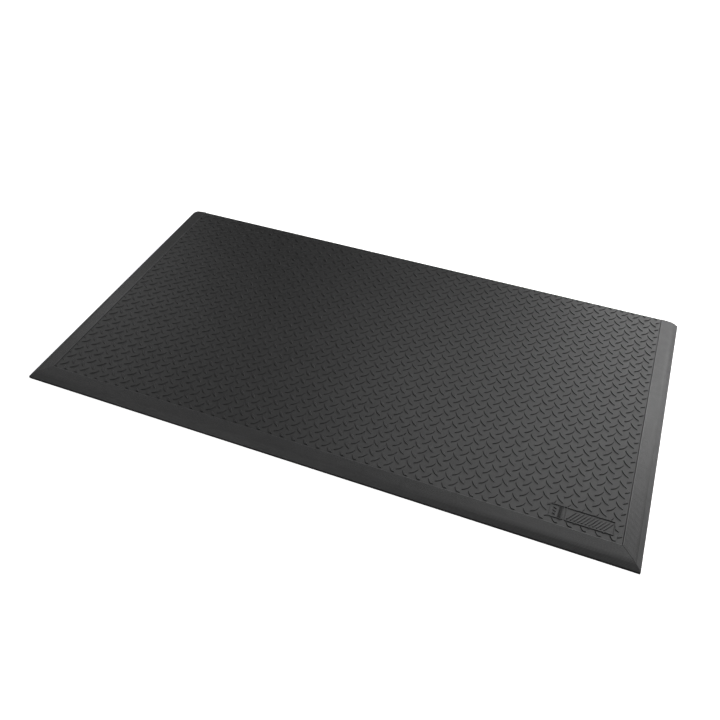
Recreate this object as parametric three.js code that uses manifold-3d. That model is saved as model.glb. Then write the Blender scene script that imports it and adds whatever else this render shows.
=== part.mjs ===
// Anti-fatigue floor mat with bevelled safety ramps on three sides, in millimetres, +Z up.
//
// The mat is a laminate: a rubber tread sheet over a closed-cell foam core over a non-slip base
// sheet. A solid rubber ramp runs along the left, front and right edges. Each ramp has a tongue
// that is bonded into a groove in the edge of the foam core, and the ramps meet in a mitre at the
// two front corners. The back edge is cut square, so that it can stand against a bench.
//
// Origin: on the floor, at the centre of the whole footprint. +X runs along the long front edge,
// +Y points to the square back edge.

import * as THREE from "three";
import { mergeVertices } from "three/addons/utils/BufferGeometryUtils.js";
import Module from "manifold-3d";

// Panel: the laminated rectangle inside the ramps.
const PANEL_LENGTH = 1200;
const PANEL_WIDTH = 650;
const MAT_THICKNESS = 15;
const TREAD_THICKNESS = 3;
const BASE_THICKNESS = 1.5;

// Ramp section, from the panel's edge outwards.
const RAMP_WIDTH = 38;
const CROWN_RUN = 20; // length of the nearly level inner facet
const CROWN_FALL = THREE.MathUtils.degToRad(5);
const TOE_FALL = THREE.MathUtils.degToRad(30); // slope of the outer facet
const BLEND_RADIUS = 24; // round between the two facets
const LIP_RADIUS = 1; // round at the top of the low outer lip

// Fine non-slip ribs that run along each ramp, with a V-shaped groove between them.
const RIB_PITCH = 2;
const RIB_GROOVE_WIDTH = 0.8;
const RIB_GROOVE_DEPTH = 0.35;

// Grip channels along the underside of each ramp.
const CHANNEL_COUNT = 3;
const CHANNEL_PITCH = 9;
const CHANNEL_WIDTH = 4;
const CHANNEL_DEPTH = 1.2;

// Tongue on the ramp, and the groove that takes it.
const TONGUE_DEPTH = 12;
const TONGUE_THICKNESS = 3;

const GAP = 0.3; // bond line between neighbouring pieces
const OVERCUT = 5; // how far a cutting block runs past the face that it cuts
const ARC_SEGMENTS = 4;

// Places worked out from the driving dimensions.
const HALF_LENGTH = PANEL_LENGTH / 2;
const BACK_Y = (PANEL_WIDTH + RAMP_WIDTH) / 2;
const FRONT_Y = BACK_Y - PANEL_WIDTH;
const CORE_BOTTOM = BASE_THICKNESS + GAP;
const CORE_TOP = MAT_THICKNESS - TREAD_THICKNESS - GAP;
const TONGUE_CENTRE = (CORE_BOTTOM + CORE_TOP) / 2;
const TONGUE_BOTTOM = TONGUE_CENTRE - TONGUE_THICKNESS / 2;
const TONGUE_TOP = TONGUE_CENTRE + TONGUE_THICKNESS / 2;

const RUBBER_TREAD = { color: 0x333334, roughness: 0.55, metalness: 0 };
const RUBBER_RAMP = { color: 0x3a3a3b, roughness: 0.65, metalness: 0 };
const RUBBER_BASE = { color: 0x2a2a2b, roughness: 0.8, metalness: 0 };
const FOAM = { color: 0x47474a, roughness: 0.95, metalness: 0 };

const wasm = await Module();
wasm.setup();

function namedMesh(name, geometry, look) {
  const mesh = new THREE.Mesh(geometry, new THREE.MeshStandardMaterial(look));
  mesh.name = name;
  return mesh;
}

// A closed three.js geometry as a solid that can be cut.
function toSolid(geometry) {
  const bare = geometry.clone();
  bare.deleteAttribute("normal");
  bare.deleteAttribute("uv");
  const merged = mergeVertices(bare);
  const vertProperties = new Float32Array(merged.attributes.position.array);
  const triVerts = new Uint32Array(merged.index.array);
  return new wasm.Manifold(new wasm.Mesh({ numProp: 3, vertProperties, triVerts }));
}

function fromSolid(solid) {
  const { vertProperties, triVerts } = solid.getMesh();
  const geometry = new THREE.BufferGeometry();
  geometry.setAttribute("position", new THREE.BufferAttribute(vertProperties, 3));
  geometry.setIndex(new THREE.BufferAttribute(triVerts, 1));
  geometry.computeVertexNormals();
  return geometry;
}

// A block between two corners.
function block(low, high) {
  const size = new THREE.Vector3().subVectors(high, low);
  const centre = new THREE.Vector3().addVectors(low, high).multiplyScalar(0.5);
  const geometry = new THREE.BoxGeometry(size.x, size.y, size.z);
  geometry.translate(centre.x, centre.y, centre.z);
  return geometry;
}

// One layer of the laminate. It keeps the bond line to the ramps and ends flush at the back.
function layer(bottom, top) {
  const low = new THREE.Vector3(-HALF_LENGTH + GAP, FRONT_Y + GAP, bottom);
  const high = new THREE.Vector3(HALF_LENGTH - GAP, BACK_Y, top);
  return block(low, high);
}

// The foam core, with a groove for the ramps' tongues along its left, front and right edges.
function groovedCore() {
  const grooveDepth = TONGUE_DEPTH + GAP;
  const grooveBottom = TONGUE_BOTTOM - GAP;
  const grooveTop = TONGUE_TOP + GAP;
  const left = -HALF_LENGTH - OVERCUT;
  const right = HALF_LENGTH + OVERCUT;
  const front = FRONT_Y - OVERCUT;
  const back = BACK_Y + OVERCUT;

  const leftGroove = block(
    new THREE.Vector3(left, front, grooveBottom),
    new THREE.Vector3(-HALF_LENGTH + grooveDepth, back, grooveTop),
  );
  const rightGroove = block(
    new THREE.Vector3(HALF_LENGTH - grooveDepth, front, grooveBottom),
    new THREE.Vector3(right, back, grooveTop),
  );
  const frontGroove = block(
    new THREE.Vector3(left, front, grooveBottom),
    new THREE.Vector3(right, FRONT_Y + grooveDepth, grooveTop),
  );

  let core = toSolid(layer(CORE_BOTTOM, CORE_TOP));
  for (const groove of [leftGroove, rightGroove, frontGroove]) {
    core = core.subtract(toSolid(groove));
  }
  return fromSolid(core);
}

// The round between the two facets of a ramp: its centre, and where it meets the toe facet.
function rampBlend() {
  const crownEndHeight = MAT_THICKNESS - CROWN_RUN * Math.tan(CROWN_FALL);
  const centre = new THREE.Vector2(
    CROWN_RUN - BLEND_RADIUS * Math.sin(CROWN_FALL),
    crownEndHeight - BLEND_RADIUS * Math.cos(CROWN_FALL),
  );
  const toeStart = new THREE.Vector2(
    centre.x + BLEND_RADIUS * Math.sin(TOE_FALL),
    centre.y + BLEND_RADIUS * Math.cos(TOE_FALL),
  );
  return { centre, toeStart };
}

// Height of a ramp's top surface at a distance outwards from the panel's edge.
function surfaceHeight(outwards) {
  const { centre, toeStart } = rampBlend();
  if (outwards <= CROWN_RUN) {
    return MAT_THICKNESS - outwards * Math.tan(CROWN_FALL);
  }
  if (outwards <= toeStart.x) {
    const run = outwards - centre.x;
    return centre.y + Math.sqrt(BLEND_RADIUS ** 2 - run ** 2);
  }
  return toeStart.y - (outwards - toeStart.x) * Math.tan(TOE_FALL);
}

function addChannels(section) {
  const firstMiddle = (RAMP_WIDTH - (CHANNEL_COUNT - 1) * CHANNEL_PITCH) / 2;
  for (let i = 0; i < CHANNEL_COUNT; i += 1) {
    const middle = firstMiddle + i * CHANNEL_PITCH;
    section.lineTo(middle - CHANNEL_WIDTH / 2, 0);
    section.lineTo(middle - CHANNEL_WIDTH / 2, CHANNEL_DEPTH);
    section.lineTo(middle + CHANNEL_WIDTH / 2, CHANNEL_DEPTH);
    section.lineTo(middle + CHANNEL_WIDTH / 2, 0);
  }
}

// The grooves of the ribbed surface, from the toe inwards to the crown.
function addRibGrooves(section) {
  const grooveCount = Math.floor(RAMP_WIDTH / RIB_PITCH) - 1;
  const half = RIB_GROOVE_WIDTH / 2;
  for (let i = grooveCount; i >= 1; i -= 1) {
    const middle = i * RIB_PITCH;
    section.lineTo(middle + half, surfaceHeight(middle + half));
    section.lineTo(middle, surfaceHeight(middle) - RIB_GROOVE_DEPTH);
    section.lineTo(middle - half, surfaceHeight(middle - half));
  }
}

// Section of a ramp. X is the distance outwards from the panel's edge, Y is the height.
function rampSection() {
  const lipCentreX = RAMP_WIDTH - LIP_RADIUS;
  const lipCentreY = surfaceHeight(lipCentreX) - LIP_RADIUS / Math.cos(TOE_FALL);
  const lipArc = Math.PI / 2 - TOE_FALL;

  const section = new THREE.Shape();
  section.moveTo(0, 0);
  addChannels(section);
  section.lineTo(RAMP_WIDTH, 0);
  section.lineTo(RAMP_WIDTH, lipCentreY);
  section.absarc(lipCentreX, lipCentreY, LIP_RADIUS, 0, lipArc, false);
  addRibGrooves(section);
  section.lineTo(0, MAT_THICKNESS);
  section.lineTo(0, TONGUE_TOP);
  section.lineTo(-TONGUE_DEPTH, TONGUE_TOP);
  section.lineTo(-TONGUE_DEPTH, TONGUE_BOTTOM);
  section.lineTo(0, TONGUE_BOTTOM);
  section.closePath();
  return section;
}

// A ramp strip along +Z. A mitred end runs on by the distance outwards, which cuts it at 45
// degrees, and is pulled back by its half of the bond line.
function rampStrip(length, startIsMitred, endIsMitred) {
  const geometry = new THREE.ExtrudeGeometry(rampSection(), {
    depth: length,
    bevelEnabled: false,
    curveSegments: ARC_SEGMENTS,
  });
  const pullBack = (GAP / 2) * Math.SQRT2;
  const position = geometry.attributes.position;
  for (let i = 0; i < position.count; i += 1) {
    const outwards = position.getX(i);
    const isStart = position.getZ(i) < length / 2;
    if (isStart && startIsMitred) {
      position.setZ(i, pullBack - outwards);
    }
    if (!isStart && endIsMitred) {
      position.setZ(i, length - pullBack + outwards);
    }
  }
  geometry.computeVertexNormals();
  return geometry;
}

// Turns a strip so that its section faces outwards and stands up, and starts it at a corner.
function placeRamp(mesh, outwards, corner) {
  const up = new THREE.Vector3(0, 0, 1);
  const along = new THREE.Vector3().crossVectors(outwards, up);
  const basis = new THREE.Matrix4().makeBasis(outwards, up, along);
  mesh.quaternion.setFromRotationMatrix(basis);
  mesh.position.copy(corner);
  return mesh;
}

function laminate() {
  const group = new THREE.Group();
  group.add(namedMesh("base_sheet", layer(0, BASE_THICKNESS), RUBBER_BASE));
  group.add(namedMesh("cushion_core", groovedCore(), FOAM));
  const tread = layer(MAT_THICKNESS - TREAD_THICKNESS, MAT_THICKNESS);
  group.add(namedMesh("tread_sheet", tread, RUBBER_TREAD));
  return group;
}

function ramps() {
  const group = new THREE.Group();
  const left = namedMesh("ramp_left", rampStrip(PANEL_WIDTH, true, false), RUBBER_RAMP);
  const front = namedMesh("ramp_front", rampStrip(PANEL_LENGTH, true, true), RUBBER_RAMP);
  const right = namedMesh("ramp_right", rampStrip(PANEL_WIDTH, false, true), RUBBER_RAMP);
  const frontLeft = new THREE.Vector3(-HALF_LENGTH, FRONT_Y, 0);
  const frontRight = new THREE.Vector3(HALF_LENGTH, FRONT_Y, 0);
  const backRight = new THREE.Vector3(HALF_LENGTH, BACK_Y, 0);
  group.add(placeRamp(left, new THREE.Vector3(-1, 0, 0), frontLeft));
  group.add(placeRamp(front, new THREE.Vector3(0, -1, 0), frontRight));
  group.add(placeRamp(right, new THREE.Vector3(1, 0, 0), backRight));
  return group;
}

const mat = new THREE.Group();
mat.add(laminate());
mat.add(ramps());

export default mat;
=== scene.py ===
import math

import bmesh
import bpy
import numpy as np
from mathutils import Matrix, Vector
from mathutils.noise import noise


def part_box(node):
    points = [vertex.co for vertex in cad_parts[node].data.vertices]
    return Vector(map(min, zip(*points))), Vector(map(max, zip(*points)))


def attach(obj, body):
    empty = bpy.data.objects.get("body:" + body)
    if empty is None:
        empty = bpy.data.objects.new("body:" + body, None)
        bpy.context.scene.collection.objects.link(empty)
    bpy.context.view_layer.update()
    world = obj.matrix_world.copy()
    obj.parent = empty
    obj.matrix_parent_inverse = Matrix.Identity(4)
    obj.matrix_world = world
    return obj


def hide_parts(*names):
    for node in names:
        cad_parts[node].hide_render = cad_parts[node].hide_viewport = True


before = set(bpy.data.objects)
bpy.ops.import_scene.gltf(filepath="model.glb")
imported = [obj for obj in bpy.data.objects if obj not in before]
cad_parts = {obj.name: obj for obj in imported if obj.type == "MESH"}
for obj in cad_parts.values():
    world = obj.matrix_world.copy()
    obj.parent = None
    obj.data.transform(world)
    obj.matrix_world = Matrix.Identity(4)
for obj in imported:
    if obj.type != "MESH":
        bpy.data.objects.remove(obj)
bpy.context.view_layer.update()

# An anti-fatigue floor mat. A diamond-tread rubber sheet and a non-slip base sheet sandwich a foam
# core, and ribbed rubber ramps run along the left, front and right edges. Every length is in metres.
MM = 0.001

# Tread bars: lenses between two arcs. One grid leans to the left (\), the other to the right (/).
BAR_LENGTH = 21.8 * MM
BAR_WIDTH = 5.8 * MM
BAR_HEIGHT = 1.6 * MM
BAR_ARC_SEGMENTS = 6
BAR_FLANK = 0.9 * MM  # run of the sloping side, from the foot to the flat top
PITCH_X = 25.70 * MM  # between two bars that lean the same way
PITCH_Y = 25.80 * MM
FIRST_BAR_X = 1.1 * MM  # from the left edge of the sheet to the first bar of the \ grid
FIRST_BAR_Y = 5.1 * MM  # from the front edge
FIELD_BULGE = 4.0 * MM  # how far a bar's tile reaches past its grid square at the bar's tips
WELD_DISTANCE = 1e-6
TREAD_SHARP_ANGLE = 34  # degrees; flatter edges than this are shaded smooth

# The bars stop short of the sheet's edges and leave a plain border.
BORDER_FRONT = 3.2 * MM
BORDER_SIDE = 2.2 * MM
BORDER_BACK = 2.5 * MM

# Moulded plate near the front right corner of the tread: a small box, a gap and a long box.
PLATE_LENGTH = 117 * MM
PLATE_WIDTH = 30.5 * MM
PLATE_FROM_RIGHT = 16.2 * MM
PLATE_FROM_FRONT = 13.3 * MM
PLATE_SMALL_BOX = 25.5 * MM
PLATE_GAP = 3.5 * MM
PLATE_RADIUS = 2.5 * MM
PLATE_RIM = 1.8 * MM  # width of the raised rim
PLATE_FLANK = 0.2 * MM
PLATE_POCKET_DEPTH = 0.3 * MM
PLATE_CORNER_STEPS = 5
HATCH_WIDTH = 2.2 * MM  # slanted ribs in the boxes
HATCH_LEAN = math.radians(55)
HATCH_PITCH = 6.6 * MM
HATCH_MARGIN = 6 * MM
RIB_END_ROUND = 0.49  # a rib's end radius over its width, under half so that no points coincide
GRIP_LENGTH = 5.5 * MM  # stack of short ribs at the right end of the small box
GRIP_WIDTH = 1.2 * MM
GRIP_PITCH = 2.2 * MM

# Ramps: the same section as the CAD ramps, with rounded ribs.
CROWN_RUN = 20 * MM
CROWN_FALL = math.radians(5)
TOE_FALL = math.radians(30)
BLEND_RADIUS = 24 * MM
LIP_RADIUS = 1 * MM
INNER_EDGE_RADIUS = 1.0 * MM
RIB_PITCH = 2.0 * MM
RIB_DEPTH = 0.3 * MM
RIB_STEPS = 5
ROUND_STEPS = 4  # of the lip and of the inner edge
RAMP_SHARP_ANGLE = 50
CHANNEL_COUNT = 3
CHANNEL_PITCH = 9 * MM
CHANNEL_WIDTH = 4 * MM
CHANNEL_DEPTH = 1.2 * MM
TONGUE_DEPTH = 12 * MM
TONGUE_THICKNESS = 3 * MM
GAP = 0.3 * MM
END_CHAMFER = 0.25 * MM

# Foam core and the pattern of the base sheet.
FOAM_STEP = 2.5 * MM
FOAM_ROUGHNESS = 0.3 * MM
CORE_SHARP_ANGLE = 40
PAD_PITCH = 16 * MM
PAD_GROOVE = 3.0 * MM
PAD_SLOPE = 0.5 * MM
PAD_DEPTH = 0.7 * MM
BASE_SHARP_ANGLE = 34

# Materials.
NOISE_LOW = 0.3  # nearly all of a noise lies between these two
NOISE_HIGH = 0.7
ROUGHNESS_SPREAD = 0.03

# Camera, at the photographer's place.
CAMERA_AZIMUTH = math.radians(21.45)
CAMERA_ELEVATION = math.radians(43.5)
CAMERA_ROLL = math.radians(0.3)
CAMERA_DISTANCE = 1.694
CAMERA_TARGET = Vector((-0.001, -0.028, 0))
CAMERA_LENS = 38.47
CAMERA_SENSOR = 36

# Studio: a pale floor under six square softboxes that stand round the mat.
FLOOR_HALF = 20
FLOOR_GLOW = 0.85
SOFTBOX_SIZE = 2.0
SOFTBOX_DISTANCE = 3.0
SOFTBOXES = {  # degrees round from the front, degrees above the floor, and watts
    "front": (335, 25, 22),
    "front_right": (50, 30, 15),
    "right": (115, 35, 30),
    "back_right": (152, 22, 50),
    "back": (175, 60, 28),
    "left": (245, 25, 15),
}


# ---------------------------------------------------------------- mesh helpers


def add_stack(bm, rings):
    """A closed solid through rings of equally many points, capped at both ends."""
    loops = [[bm.verts.new(point) for point in ring] for ring in rings]
    count = len(loops[0])
    for lower, upper in zip(loops, loops[1:]):
        for k in range(count):
            bm.faces.new((lower[k - 1], lower[k], upper[k], upper[k - 1]))
    bm.faces.new(loops[0][::-1])
    bm.faces.new(loops[-1])


def grow_rim(bm):
    """Extrudes every open edge of a sheet in place. Returns the new points and open edges."""
    rim = [edge for edge in bm.edges if edge.is_boundary]
    grown = bmesh.ops.extrude_edge_only(bm, edges=rim)["geom"]
    points = [item for item in grown if isinstance(item, bmesh.types.BMVert)]
    edges = [item for item in grown if isinstance(item, bmesh.types.BMEdge) and item.is_boundary]
    return points, edges


def close_down_to(bm, z):
    """Extrudes every open edge of a sheet straight to the height z and closes it there."""
    points, edges = grow_rim(bm)
    for point in points:
        point.co.z = z
    bmesh.ops.contextual_create(bm, geom=edges)


def rectangle_planes(low, high):
    """The four upright planes round a rectangle, each as a point and an outward normal."""
    return (
        (low, Vector((-1, 0, 0))),
        (high, Vector((1, 0, 0))),
        (low, Vector((0, -1, 0))),
        (high, Vector((0, 1, 0))),
    )


def to_object(name, bm, sharp_angle):
    """Turns a bmesh into a piece, smooth except where faces meet at more than the sharp angle."""
    bmesh.ops.recalc_face_normals(bm, faces=bm.faces)
    mesh = bpy.data.meshes.new(name)
    bm.to_mesh(mesh)
    bm.free()
    mesh.shade_smooth()
    mesh.set_sharp_from_angle(angle=math.radians(sharp_angle))
    piece = bpy.data.objects.new(name, mesh)
    bpy.context.scene.collection.objects.link(piece)
    return piece


# ---------------------------------------------------------------- tread sheet


def bar_ring(inset, height):
    """A ring round a bar that lies along X, parallel to its outline, anticlockwise from its tip."""
    half_length = BAR_LENGTH / 2
    half_width = BAR_WIDTH / 2
    outline_radius = (half_length**2 + half_width**2) / (2 * half_width)
    offset = outline_radius - half_width
    radius = outline_radius - inset
    reach = math.acos(offset / radius)
    ring = []
    for side in (1, -1):
        for k in range(BAR_ARC_SEGMENTS):
            angle = reach * (1 - 2 * k / BAR_ARC_SEGMENTS)
            x = radius * math.sin(angle)
            y = radius * math.cos(angle) - offset
            ring.append((side * x, side * y, height))
    return ring


def tile_ring(spacing):
    """The edge of a bar's tile. It bulges at the bar's tips and draws in at its sides."""
    half = spacing / 2
    out = half + FIELD_BULGE
    drawn_in = half - FIELD_BULGE
    return [
        (out, 0, 0),
        (half, half, 0),
        (0, drawn_in, 0),
        (-half, half, 0),
        (-out, 0, 0),
        (-half, -half, 0),
        (0, -drawn_in, 0),
        (half, -half, 0),
    ]


def zip_rings(outer, inner, outer_start, inner_start):
    """Triangles between two rings that both start at angle 0 and run anticlockwise."""

    def turn(ring, k):
        if k == len(ring):
            return 2 * math.pi
        return math.atan2(ring[k][1], ring[k][0]) % (2 * math.pi)

    triangles = []
    i = j = 0
    while i < len(outer) or j < len(inner):
        outer_now = outer_start + i % len(outer)
        inner_now = inner_start + j % len(inner)
        move_outer = j == len(inner) or (i < len(outer) and turn(outer, i + 1) <= turn(inner, j + 1))
        if move_outer:
            i += 1
            triangles.append((outer_now, outer_start + i % len(outer), inner_now))
        else:
            j += 1
            triangles.append((outer_now, inner_start + j % len(inner), inner_now))
    return triangles


def bar_tile(spacing):
    """One tile of the tread with its bar: points, and faces as tuples of point numbers."""
    edge = tile_ring(spacing)
    foot = bar_ring(0, 0)
    points = edge + foot
    faces = zip_rings(edge, foot, 0, len(edge))
    count = len(foot)
    lower = len(edge)
    upper = len(points)
    points += bar_ring(BAR_FLANK, BAR_HEIGHT)
    for k in range(count):
        after = (k + 1) % count
        faces.append((lower + k, lower + after, upper + after, upper + k))
    faces.append(tuple(range(upper, upper + count)))
    return np.array(points), faces


def tread_surface(low, high):
    """The tread's top surface over a little more than the sheet, at height 0, as a bmesh."""
    mean_pitch = (PITCH_X + PITCH_Y) / 2
    spacing = mean_pitch / math.sqrt(2)
    points, faces = bar_tile(spacing)
    quarter_turn = np.stack([-points[:, 1], points[:, 0], points[:, 2]], axis=1)

    # Grid places (i, j) count half pitches along the two diagonals.
    reach_x = int((high.x - low.x) / PITCH_X) + 2
    reach_y = int((high.y - low.y) / PITCH_Y) + 2
    clouds = []
    all_faces = []
    for column in range(-2, 2 * reach_x):
        for row in range(-2, 2 * reach_y):
            if (column + row) % 2:
                continue
            leans_left = column % 2 == 0
            cloud = quarter_turn if leans_left else points
            start = len(clouds) * len(points)
            all_faces.extend(tuple(start + k for k in face) for face in faces)
            turned_x = (cloud[:, 0] - cloud[:, 1]) / math.sqrt(2)
            turned_y = (cloud[:, 0] + cloud[:, 1]) / math.sqrt(2)
            x = low.x + FIRST_BAR_X + column * PITCH_X / 2 + turned_x * PITCH_X / mean_pitch
            y = low.y + FIRST_BAR_Y + row * PITCH_Y / 2 + turned_y * PITCH_Y / mean_pitch
            clouds.append(np.stack([x, y, cloud[:, 2]], axis=1))

    cloud = np.concatenate(clouds)
    keys = np.round(cloud / WELD_DISTANCE).astype(np.int64)
    _, first, where = np.unique(keys, axis=0, return_index=True, return_inverse=True)
    where = where.ravel()
    mesh = bpy.data.meshes.new("tread_surface")
    welded_faces = [[int(where[k]) for k in face] for face in all_faces]
    mesh.from_pydata(cloud[first].tolist(), [], welded_faces)
    bm = bmesh.new()
    bm.from_mesh(mesh)
    bpy.data.meshes.remove(mesh)
    return bm


def add_border(bm, inner_low, inner_high, low, high, field_z):
    """Ends the cut bars in upright faces, and adds the plain border of the sheet round them."""
    points, _ = grow_rim(bm)
    for point in points:
        point.co.z = field_z
    bmesh.ops.remove_doubles(bm, verts=bm.verts, dist=WELD_DISTANCE)
    points, _ = grow_rim(bm)
    for point in points:
        for axis in (0, 1):
            if point.co[axis] < inner_low[axis] + WELD_DISTANCE:
                point.co[axis] = low[axis]
            if point.co[axis] > inner_high[axis] - WELD_DISTANCE:
                point.co[axis] = high[axis]


def sink_pocket(bm, low, high, depth):
    """Cuts a rectangle out of the top of the tread and closes it as a shallow pocket."""

    def near():
        margin = BAR_LENGTH
        found = []
        for face in bm.faces:
            centre = face.calc_center_median()
            is_top = centre.z > low.z - WELD_DISTANCE
            within_x = low.x - margin < centre.x < high.x + margin
            within_y = low.y - margin < centre.y < high.y + margin
            if is_top and within_x and within_y:
                found.append(face)
        return found

    for point, normal in rectangle_planes(low, high):
        faces = near()
        edges = {edge for face in faces for edge in face.edges}
        verts = {vert for face in faces for vert in face.verts}
        bmesh.ops.bisect_plane(
            bm,
            geom=[*verts, *edges, *faces],
            dist=WELD_DISTANCE,
            plane_co=point,
            plane_no=normal,
        )
    inside = []
    for face in near():
        centre = face.calc_center_median()
        if low.x < centre.x < high.x and low.y < centre.y < high.y:
            inside.append(face)
    bmesh.ops.delete(bm, geom=inside, context="FACES")
    close_down_to(bm, low.z - depth)


def rounded_rectangle(length, width, radius, steps):
    """A rectangle with round corners about the origin, anticlockwise, as (x, y)."""
    ring = []
    corners = ((1, 1), (-1, 1), (-1, -1), (1, -1))
    for number, (side_x, side_y) in enumerate(corners):
        corner_x = side_x * (length / 2 - radius)
        corner_y = side_y * (width / 2 - radius)
        for k in range(steps + 1):
            angle = (number + k / steps) * math.pi / 2
            x = corner_x + radius * math.cos(angle)
            y = corner_y + radius * math.sin(angle)
            ring.append((x, y))
    return ring


def place_ring(ring, centre, turn, z):
    turned = Matrix.Rotation(turn, 2)
    points = []
    for point in ring:
        x, y = turned @ Vector(point)
        points.append((centre.x + x, centre.y + y, z))
    return points


def add_rim(bm, centre, length, width, field_z, top_z):
    """A raised rim with round corners, closed inside it by a floor at the height of the field."""
    levels = (
        (0, field_z - PLATE_POCKET_DEPTH),
        (0, field_z),
        (PLATE_FLANK, top_z),
        (PLATE_RIM - PLATE_FLANK, top_z),
        (PLATE_RIM, field_z),
    )
    rings = []
    for inset, z in levels:
        radius = PLATE_RADIUS - inset
        ring = rounded_rectangle(length - 2 * inset, width - 2 * inset, radius, PLATE_CORNER_STEPS)
        rings.append(place_ring(ring, centre, 0, z))
    add_stack(bm, rings)


def add_rib(bm, centre, length, width, turn, field_z, top_z):
    """A straight rib with round ends and steep flanks."""
    levels = ((0, field_z - PLATE_POCKET_DEPTH / 2), (0, field_z), (PLATE_FLANK, top_z))
    rings = []
    for inset, z in levels:
        ring_width = width - 2 * inset
        radius = RIB_END_ROUND * ring_width
        ring = rounded_rectangle(length - 2 * inset, ring_width, radius, steps=2)
        rings.append(place_ring(ring, centre, turn, z))
    add_stack(bm, rings)


def add_plate(bm, low, high, field_z, top_z):
    """The moulded plate: two rimmed boxes side by side with plain ribs in them, and no lettering."""
    middle_y = (low.y + high.y) / 2
    width = high.y - low.y
    split = low.x + PLATE_SMALL_BOX
    small_centre = Vector(((low.x + split) / 2, middle_y))
    long_length = high.x - split - PLATE_GAP
    long_centre = Vector((high.x - long_length / 2, middle_y))
    add_rim(bm, small_centre, PLATE_SMALL_BOX, width, field_z, top_z)
    add_rim(bm, long_centre, long_length, width, field_z, top_z)

    hatch_length = (width - 2 * PLATE_RIM - HATCH_MARGIN) / math.sin(HATCH_LEAN)
    room = long_length - 2 * (PLATE_RIM + HATCH_MARGIN)
    count = round(room / HATCH_PITCH)
    for k in range(count):
        x = long_centre.x + (k - (count - 1) / 2) * HATCH_PITCH
        add_rib(bm, Vector((x, middle_y)), hatch_length, HATCH_WIDTH, HATCH_LEAN, field_z, top_z)

    grip_x = split - 2 * PLATE_RIM - GRIP_LENGTH / 2
    grip_count = round((width - 2 * PLATE_RIM) / GRIP_PITCH) - 1
    for k in range(grip_count):
        y = middle_y + (k - (grip_count - 1) / 2) * GRIP_PITCH
        add_rib(bm, Vector((grip_x, y)), GRIP_LENGTH, GRIP_WIDTH, 0, field_z, top_z)

    left_x = (low.x + PLATE_RIM + grip_x - GRIP_LENGTH / 2) / 2
    for k in (-1, 0, 1):
        y = middle_y + k * HATCH_PITCH
        add_rib(bm, Vector((left_x, y)), HATCH_PITCH, HATCH_WIDTH, -HATCH_LEAN / 2, field_z, top_z)


def tread_piece():
    low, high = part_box("tread_sheet")
    field_z = high.z - BAR_HEIGHT
    inner_low = low + Vector((BORDER_SIDE, BORDER_FRONT, 0))
    inner_high = high - Vector((BORDER_SIDE, BORDER_BACK, 0))
    bm = tread_surface(low, high)
    bmesh.ops.translate(bm, verts=bm.verts, vec=(0, 0, field_z))
    for point, normal in rectangle_planes(inner_low, inner_high):
        bmesh.ops.bisect_plane(
            bm,
            geom=[*bm.verts, *bm.edges, *bm.faces],
            dist=WELD_DISTANCE,
            plane_co=point,
            plane_no=normal,
            clear_outer=True,
        )
    add_border(bm, inner_low, inner_high, low, high, field_z)
    close_down_to(bm, low.z)

    plate_high = Vector((high.x - PLATE_FROM_RIGHT, low.y + PLATE_FROM_FRONT + PLATE_WIDTH, field_z))
    plate_low = plate_high - Vector((PLATE_LENGTH, PLATE_WIDTH, 0))
    rim_middle = Vector((PLATE_RIM / 2, PLATE_RIM / 2, 0))
    sink_pocket(bm, plate_low + rim_middle, plate_high - rim_middle, PLATE_POCKET_DEPTH)
    add_plate(bm, plate_low, plate_high, field_z, high.z)
    return to_object("tread", bm, TREAD_SHARP_ANGLE)


# ---------------------------------------------------------------- ramps


def ramp_height(outwards, top):
    """Height of a ramp's smooth top surface at a distance outwards from the panel's edge."""
    centre_x = CROWN_RUN - BLEND_RADIUS * math.sin(CROWN_FALL)
    centre_z = top - CROWN_RUN * math.tan(CROWN_FALL) - BLEND_RADIUS * math.cos(CROWN_FALL)
    toe_x = centre_x + BLEND_RADIUS * math.sin(TOE_FALL)
    toe_z = centre_z + BLEND_RADIUS * math.cos(TOE_FALL)
    if outwards < CROWN_RUN:
        return top - outwards * math.tan(CROWN_FALL)
    if outwards < toe_x:
        return centre_z + math.sqrt(BLEND_RADIUS**2 - (outwards - centre_x) ** 2)
    return toe_z - (outwards - toe_x) * math.tan(TOE_FALL)


def ribbed_top(width, top):
    """The ramp's top surface from the lip inwards: round lip, rounded ribs, round inner edge."""
    points = []
    lip_x = width - LIP_RADIUS
    lip_z = ramp_height(lip_x, top) - LIP_RADIUS / math.cos(TOE_FALL)
    lip_arc = math.pi / 2 - TOE_FALL
    for k in range(ROUND_STEPS + 1):
        angle = lip_arc * k / ROUND_STEPS
        points.append((lip_x + LIP_RADIUS * math.cos(angle), lip_z + LIP_RADIUS * math.sin(angle)))

    last_rib = math.floor((width - LIP_RADIUS) / RIB_PITCH - 0.5)
    for rib in range(last_rib, 0, -1):
        for k in range(RIB_STEPS):
            share = k / RIB_STEPS
            outwards = (rib + 0.5 - share) * RIB_PITCH
            # A rounded crest and a narrow groove: the groove is where the share is near 0.
            dip = RIB_DEPTH * (1 - math.sin(math.pi * share)) ** 2
            points.append((outwards, ramp_height(outwards, top) - dip))

    for k in range(ROUND_STEPS + 1):
        angle = math.pi / 2 * (1 + k / ROUND_STEPS)
        x = INNER_EDGE_RADIUS * (1 + math.cos(angle))
        z = ramp_height(x, top) - INNER_EDGE_RADIUS * (1 - math.sin(angle))
        points.append((x, z))
    return points


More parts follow.
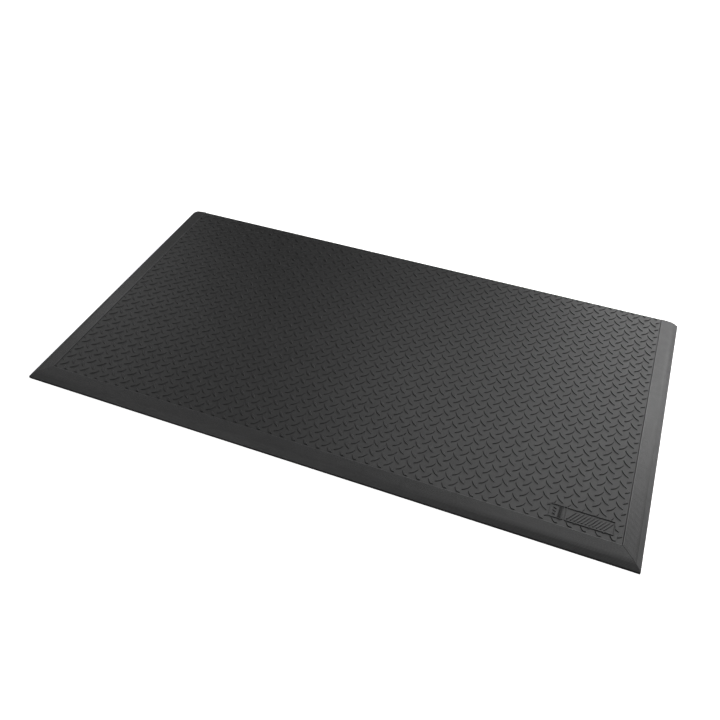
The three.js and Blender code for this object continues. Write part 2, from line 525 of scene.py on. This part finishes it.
def ramp_section(width, top, core_low, core_high):
    """The whole outline of a ramp as (outwards, height), anticlockwise."""
    points = [(0, 0)]
    first_channel = (width - (CHANNEL_COUNT - 1) * CHANNEL_PITCH) / 2
    for k in range(CHANNEL_COUNT):
        middle = first_channel + k * CHANNEL_PITCH
        near = middle - CHANNEL_WIDTH / 2
        far = middle + CHANNEL_WIDTH / 2
        points += [(near, 0), (near, CHANNEL_DEPTH), (far, CHANNEL_DEPTH), (far, 0)]
    points.append((width, 0))
    points += ribbed_top(width, top)
    tongue_middle = (core_low + core_high) / 2
    tongue_low = tongue_middle - TONGUE_THICKNESS / 2
    tongue_high = tongue_middle + TONGUE_THICKNESS / 2
    points += [(0, tongue_high), (-TONGUE_DEPTH, tongue_high)]
    points += [(-TONGUE_DEPTH, tongue_low), (0, tongue_low)]
    return points


def ramp_piece(name, node, corner, outwards, length, mitres):
    """A ramp from a corner of the panel. Mitres says, for its start and its end, if it is mitred."""
    core_low, core_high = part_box("cushion_core")
    box_low, box_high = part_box(node)
    along = outwards.cross(Vector((0, 0, 1)))
    reach = max(abs(outwards.dot(box_low)), abs(outwards.dot(box_high)))
    width = reach - abs(outwards.dot(corner))
    section = ramp_section(width, box_high.z, core_low.z, core_high.z)
    pull_back = GAP / 2 * math.sqrt(2)

    def ring(at_end, is_inset):
        is_mitred = mitres[at_end]
        direction = -1 if at_end else 1
        points = []
        for u, z in section:
            a = length if at_end else 0
            if is_mitred:
                a += direction * (pull_back - u)
            if is_inset:
                a += direction * END_CHAMFER
            elif z > CHANNEL_DEPTH and u > 0:
                z -= END_CHAMFER
            points.append(corner + outwards * u + along * a + Vector((0, 0, z)))
        return points

    bm = bmesh.new()
    places = ((False, False), (False, True), (True, True), (True, False))
    add_stack(bm, [ring(at_end, is_inset) for at_end, is_inset in places])
    return to_object(name, bm, RAMP_SHARP_ANGLE)


def ramp_pieces():
    tread_low, tread_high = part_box("tread_sheet")
    left = tread_low.x - GAP
    right = tread_high.x + GAP
    front = tread_low.y - GAP
    back = tread_high.y
    front_left = Vector((left, front, 0))
    front_right = Vector((right, front, 0))
    back_right = Vector((right, back, 0))
    depth = back - front
    # Outward direction, first corner, length, and which of its two ends are mitred.
    plans = {
        "left": (Vector((-1, 0, 0)), front_left, depth, (True, False)),
        "front": (Vector((0, -1, 0)), front_right, right - left, (True, True)),
        "right": (Vector((1, 0, 0)), back_right, depth, (False, True)),
    }
    ramps = {}
    for side, (outwards, corner, length, mitres) in plans.items():
        node = f"ramp_{side}"
        ramps[node] = ramp_piece(f"{side}_ramp", node, corner, outwards, length, mitres)
    return ramps


# ---------------------------------------------------------------- foam core and base sheet


def core_ring(low, high, inset, z, steps):
    """A level ring round the core. Its back side is finely divided and slightly uneven."""
    left = low.x + inset
    right = high.x - inset
    ring = [(left, high.y, z), (left, low.y + inset, z), (right, low.y + inset, z), (right, high.y, z)]
    for k in range(1, steps):
        x = right + (left - right) * k / steps
        uneven = 0.5 + 0.5 * noise(Vector((x, 0, z)) / FOAM_STEP)
        ring.append((x, high.y - FOAM_ROUGHNESS * min(max(uneven, 0), 1), z))
    return ring


def core_piece():
    """The foam core, with the groove for the ramps' tongues along three edges."""
    low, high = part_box("cushion_core")
    middle = (low.z + high.z) / 2
    groove_low = middle - TONGUE_THICKNESS / 2 - GAP
    groove_high = middle + TONGUE_THICKNESS / 2 + GAP
    inset = TONGUE_DEPTH + GAP
    levels = (
        (0, low.z),
        (0, (low.z + groove_low) / 2),
        (0, groove_low),
        (inset, groove_low),
        (inset, middle),
        (inset, groove_high),
        (0, groove_high),
        (0, (groove_high + high.z) / 2),
        (0, high.z),
    )
    steps = round((high.x - low.x) / FOAM_STEP)
    bm = bmesh.new()
    add_stack(bm, [core_ring(low, high, level_inset, z, steps) for level_inset, z in levels])
    return to_object("foam_core", bm, CORE_SHARP_ANGLE)


def pad_lines(start, end):
    """Grid lines along one axis of the base, with 0 on a pad and 1 in a groove between pads."""
    count = round((end - start) / PAD_PITCH)
    pitch = (end - start) / count
    lines = [(start, 0)]
    for k in range(1, count):
        middle = start + k * pitch
        lines += [
            (middle - PAD_GROOVE / 2, 0),
            (middle - PAD_GROOVE / 2 + PAD_SLOPE, 1),
            (middle + PAD_GROOVE / 2 - PAD_SLOPE, 1),
            (middle + PAD_GROOVE / 2, 0),
        ]
    lines.append((end, 0))
    return lines


def base_piece():
    """The non-slip base sheet, with square pads on its underside."""
    low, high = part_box("base_sheet")
    columns = pad_lines(low.x, high.x)
    rows = pad_lines(low.y, high.y)
    points = [(x, y, low.z + PAD_DEPTH * max(in_x, in_y)) for y, in_y in rows for x, in_x in columns]
    faces = []
    for row in range(len(rows) - 1):
        for column in range(len(columns) - 1):
            start = row * len(columns) + column
            faces.append((start, start + len(columns), start + len(columns) + 1, start + 1))
    mesh = bpy.data.meshes.new("base_pads")
    mesh.from_pydata(points, [], faces)
    bm = bmesh.new()
    bm.from_mesh(mesh)
    bpy.data.meshes.remove(mesh)
    close_down_to(bm, high.z)
    return to_object("base", bm, BASE_SHARP_ANGLE)


# ---------------------------------------------------------------- materials


def link(tree, source, output, target, socket):
    tree.links.new(source.outputs[output], target.inputs[socket])


def noise_node(tree, coordinates, size, detail=2.0):
    """Noise whose features are about this size in metres."""
    made = tree.nodes.new("ShaderNodeTexNoise")
    made.inputs["Scale"].default_value = 1 / size
    made.inputs["Detail"].default_value = detail
    link(tree, coordinates, "Object", made, "Vector")
    return made


def spread(tree, source, output, low, high):
    """Maps the middle of a noise to the range from low to high."""
    made = tree.nodes.new("ShaderNodeMapRange")
    made.inputs["From Min"].default_value = NOISE_LOW
    made.inputs["From Max"].default_value = NOISE_HIGH
    made.inputs["To Min"].default_value = low
    made.inputs["To Max"].default_value = high
    link(tree, source, output, made, "Value")
    return made


def moulded(name, colour, roughness, grain, grain_height, mottle=0.12, mottle_size=45 * MM):
    """Rubber or foam: mottled colour and roughness, and a fine grain as bump.

    The grain is a size and a height, and the mottle is the share by which the colour varies.
    """
    material = bpy.data.materials.new(name)
    material.use_nodes = True
    tree = material.node_tree
    shader = tree.nodes["Principled BSDF"]
    coordinates = tree.nodes.new("ShaderNodeTexCoord")

    clouds = noise_node(tree, coordinates, mottle_size, detail=5)
    tint = tree.nodes.new("ShaderNodeMix")
    # Of a colour mix, socket 0 is the factor, 6 and 7 are the two colours and 2 is the result.
    tint.data_type = "RGBA"
    tint.inputs[6].default_value = (*[c * (1 - mottle) for c in colour], 1)
    tint.inputs[7].default_value = (*[c * (1 + mottle) for c in colour], 1)
    factor = spread(tree, clouds, "Fac", 0, 1)
    link(tree, factor, "Result", tint, 0)
    tree.links.new(tint.outputs[2], shader.inputs["Base Color"])

    polish = noise_node(tree, coordinates, mottle_size / 3, detail=3)
    low = roughness - ROUGHNESS_SPREAD
    high = roughness + ROUGHNESS_SPREAD
    polish_range = spread(tree, polish, "Fac", low, high)
    link(tree, polish_range, "Result", shader, "Roughness")

    fine = noise_node(tree, coordinates, grain, detail=2)
    bump = tree.nodes.new("ShaderNodeBump")
    bump.inputs["Strength"].default_value = 1
    bump.inputs["Distance"].default_value = grain_height
    link(tree, fine, "Fac", bump, "Height")
    link(tree, bump, "Normal", shader, "Normal")
    return material


# ---------------------------------------------------------------- stage


def direction(azimuth, elevation):
    """Unit vector to a place round the object. Azimuth 0 is in front, on the -Y side."""
    return Vector(
        (
            math.sin(azimuth) * math.cos(elevation),
            -math.cos(azimuth) * math.cos(elevation),
            math.sin(elevation),
        )
    )


def add_softbox(name, azimuth, elevation, watts):
    """A square softbox that faces the mat's middle."""
    data = bpy.data.lights.new(name, "AREA")
    data.shape = "SQUARE"
    data.size = SOFTBOX_SIZE
    data.energy = watts
    lamp = bpy.data.objects.new(name, data)
    towards = direction(math.radians(azimuth), math.radians(elevation))
    lamp.location = towards * SOFTBOX_DISTANCE
    lamp.rotation_euler = towards.to_track_quat("Z", "Y").to_euler()
    bpy.context.scene.collection.objects.link(lamp)


def add_camera():
    data = bpy.data.cameras.new("camera")
    data.lens = CAMERA_LENS
    data.sensor_width = CAMERA_SENSOR
    camera = bpy.data.objects.new("camera", data)
    back = direction(CAMERA_AZIMUTH, CAMERA_ELEVATION)
    level = Vector((0, 0, 1)).cross(back).normalized()
    upright = back.cross(level)
    right = level * math.cos(CAMERA_ROLL) + upright * math.sin(CAMERA_ROLL)
    up = upright * math.cos(CAMERA_ROLL) - level * math.sin(CAMERA_ROLL)
    turned = Matrix((right, up, back)).transposed().to_4x4()
    camera.matrix_world = Matrix.Translation(CAMERA_TARGET + back * CAMERA_DISTANCE) @ turned
    bpy.context.scene.collection.objects.link(camera)
    bpy.context.scene.camera = camera


def add_floor():
    """A wide pale floor, level with the underside of the mat."""
    bm = bmesh.new()
    corners = ((-1, -1), (1, -1), (1, 1), (-1, 1))
    bm.faces.new([bm.verts.new((x * FLOOR_HALF, y * FLOOR_HALF, 0)) for x, y in corners])
    floor = to_object("floor", bm, sharp_angle=30)
    material = bpy.data.materials.new("pale_floor")
    material.use_nodes = True
    shader = material.node_tree.nodes["Principled BSDF"]
    shader.inputs["Base Color"].default_value = (0.8, 0.8, 0.8, 1)
    shader.inputs["Roughness"].default_value = 0.9
    shader.inputs["Specular IOR Level"].default_value = 0
    shader.inputs["Emission Color"].default_value = (1, 1, 1, 1)
    shader.inputs["Emission Strength"].default_value = FLOOR_GLOW
    floor.data.materials.append(material)
    floor.visible_diffuse = False
    floor.visible_glossy = False


def add_world():
    """A backdrop as pale as the far floor. It is only seen, and lights nothing."""
    world = bpy.data.worlds.new("studio")
    world.use_nodes = True
    background = world.node_tree.nodes["Background"]
    background.inputs["Color"].default_value = (1, 1, 1, 1)
    background.inputs["Strength"].default_value = FLOOR_GLOW
    world.cycles_visibility.diffuse = False
    world.cycles_visibility.glossy = False
    bpy.context.scene.world = world


# ---------------------------------------------------------------- the mat


def finish_piece(piece, node, material):
    piece.data.materials.append(material)
    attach(piece, "root")
    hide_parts(node)


tread_rubber = moulded(
    "tread_rubber", (0.014, 0.014, 0.0142), roughness=0.45, grain=0.5 * MM, grain_height=0.02 * MM
)
ramp_rubber = moulded(
    "ramp_rubber",
    (0.035, 0.035, 0.0354),
    roughness=0.45,
    grain=0.4 * MM,
    grain_height=0.02 * MM,
    mottle=0.06,
)
base_rubber = moulded(
    "base_rubber", (0.025, 0.025, 0.0255), roughness=0.7, grain=0.8 * MM, grain_height=0.04 * MM
)
core_foam = moulded(
    "core_foam", (0.05, 0.05, 0.052), roughness=0.95, grain=0.7 * MM, grain_height=0.3 * MM
)

finish_piece(tread_piece(), "tread_sheet", tread_rubber)
for node, ramp in ramp_pieces().items():
    finish_piece(ramp, node, ramp_rubber)
core = core_piece()
finish_piece(core, "cushion_core", core_foam)
finish_piece(base_piece(), "base_sheet", base_rubber)

add_floor()
add_world()
for name, (azimuth, elevation, watts) in SOFTBOXES.items():
    add_softbox(name, azimuth, elevation, watts)
add_camera()
bpy.context.scene.view_settings.view_transform = "Standard"
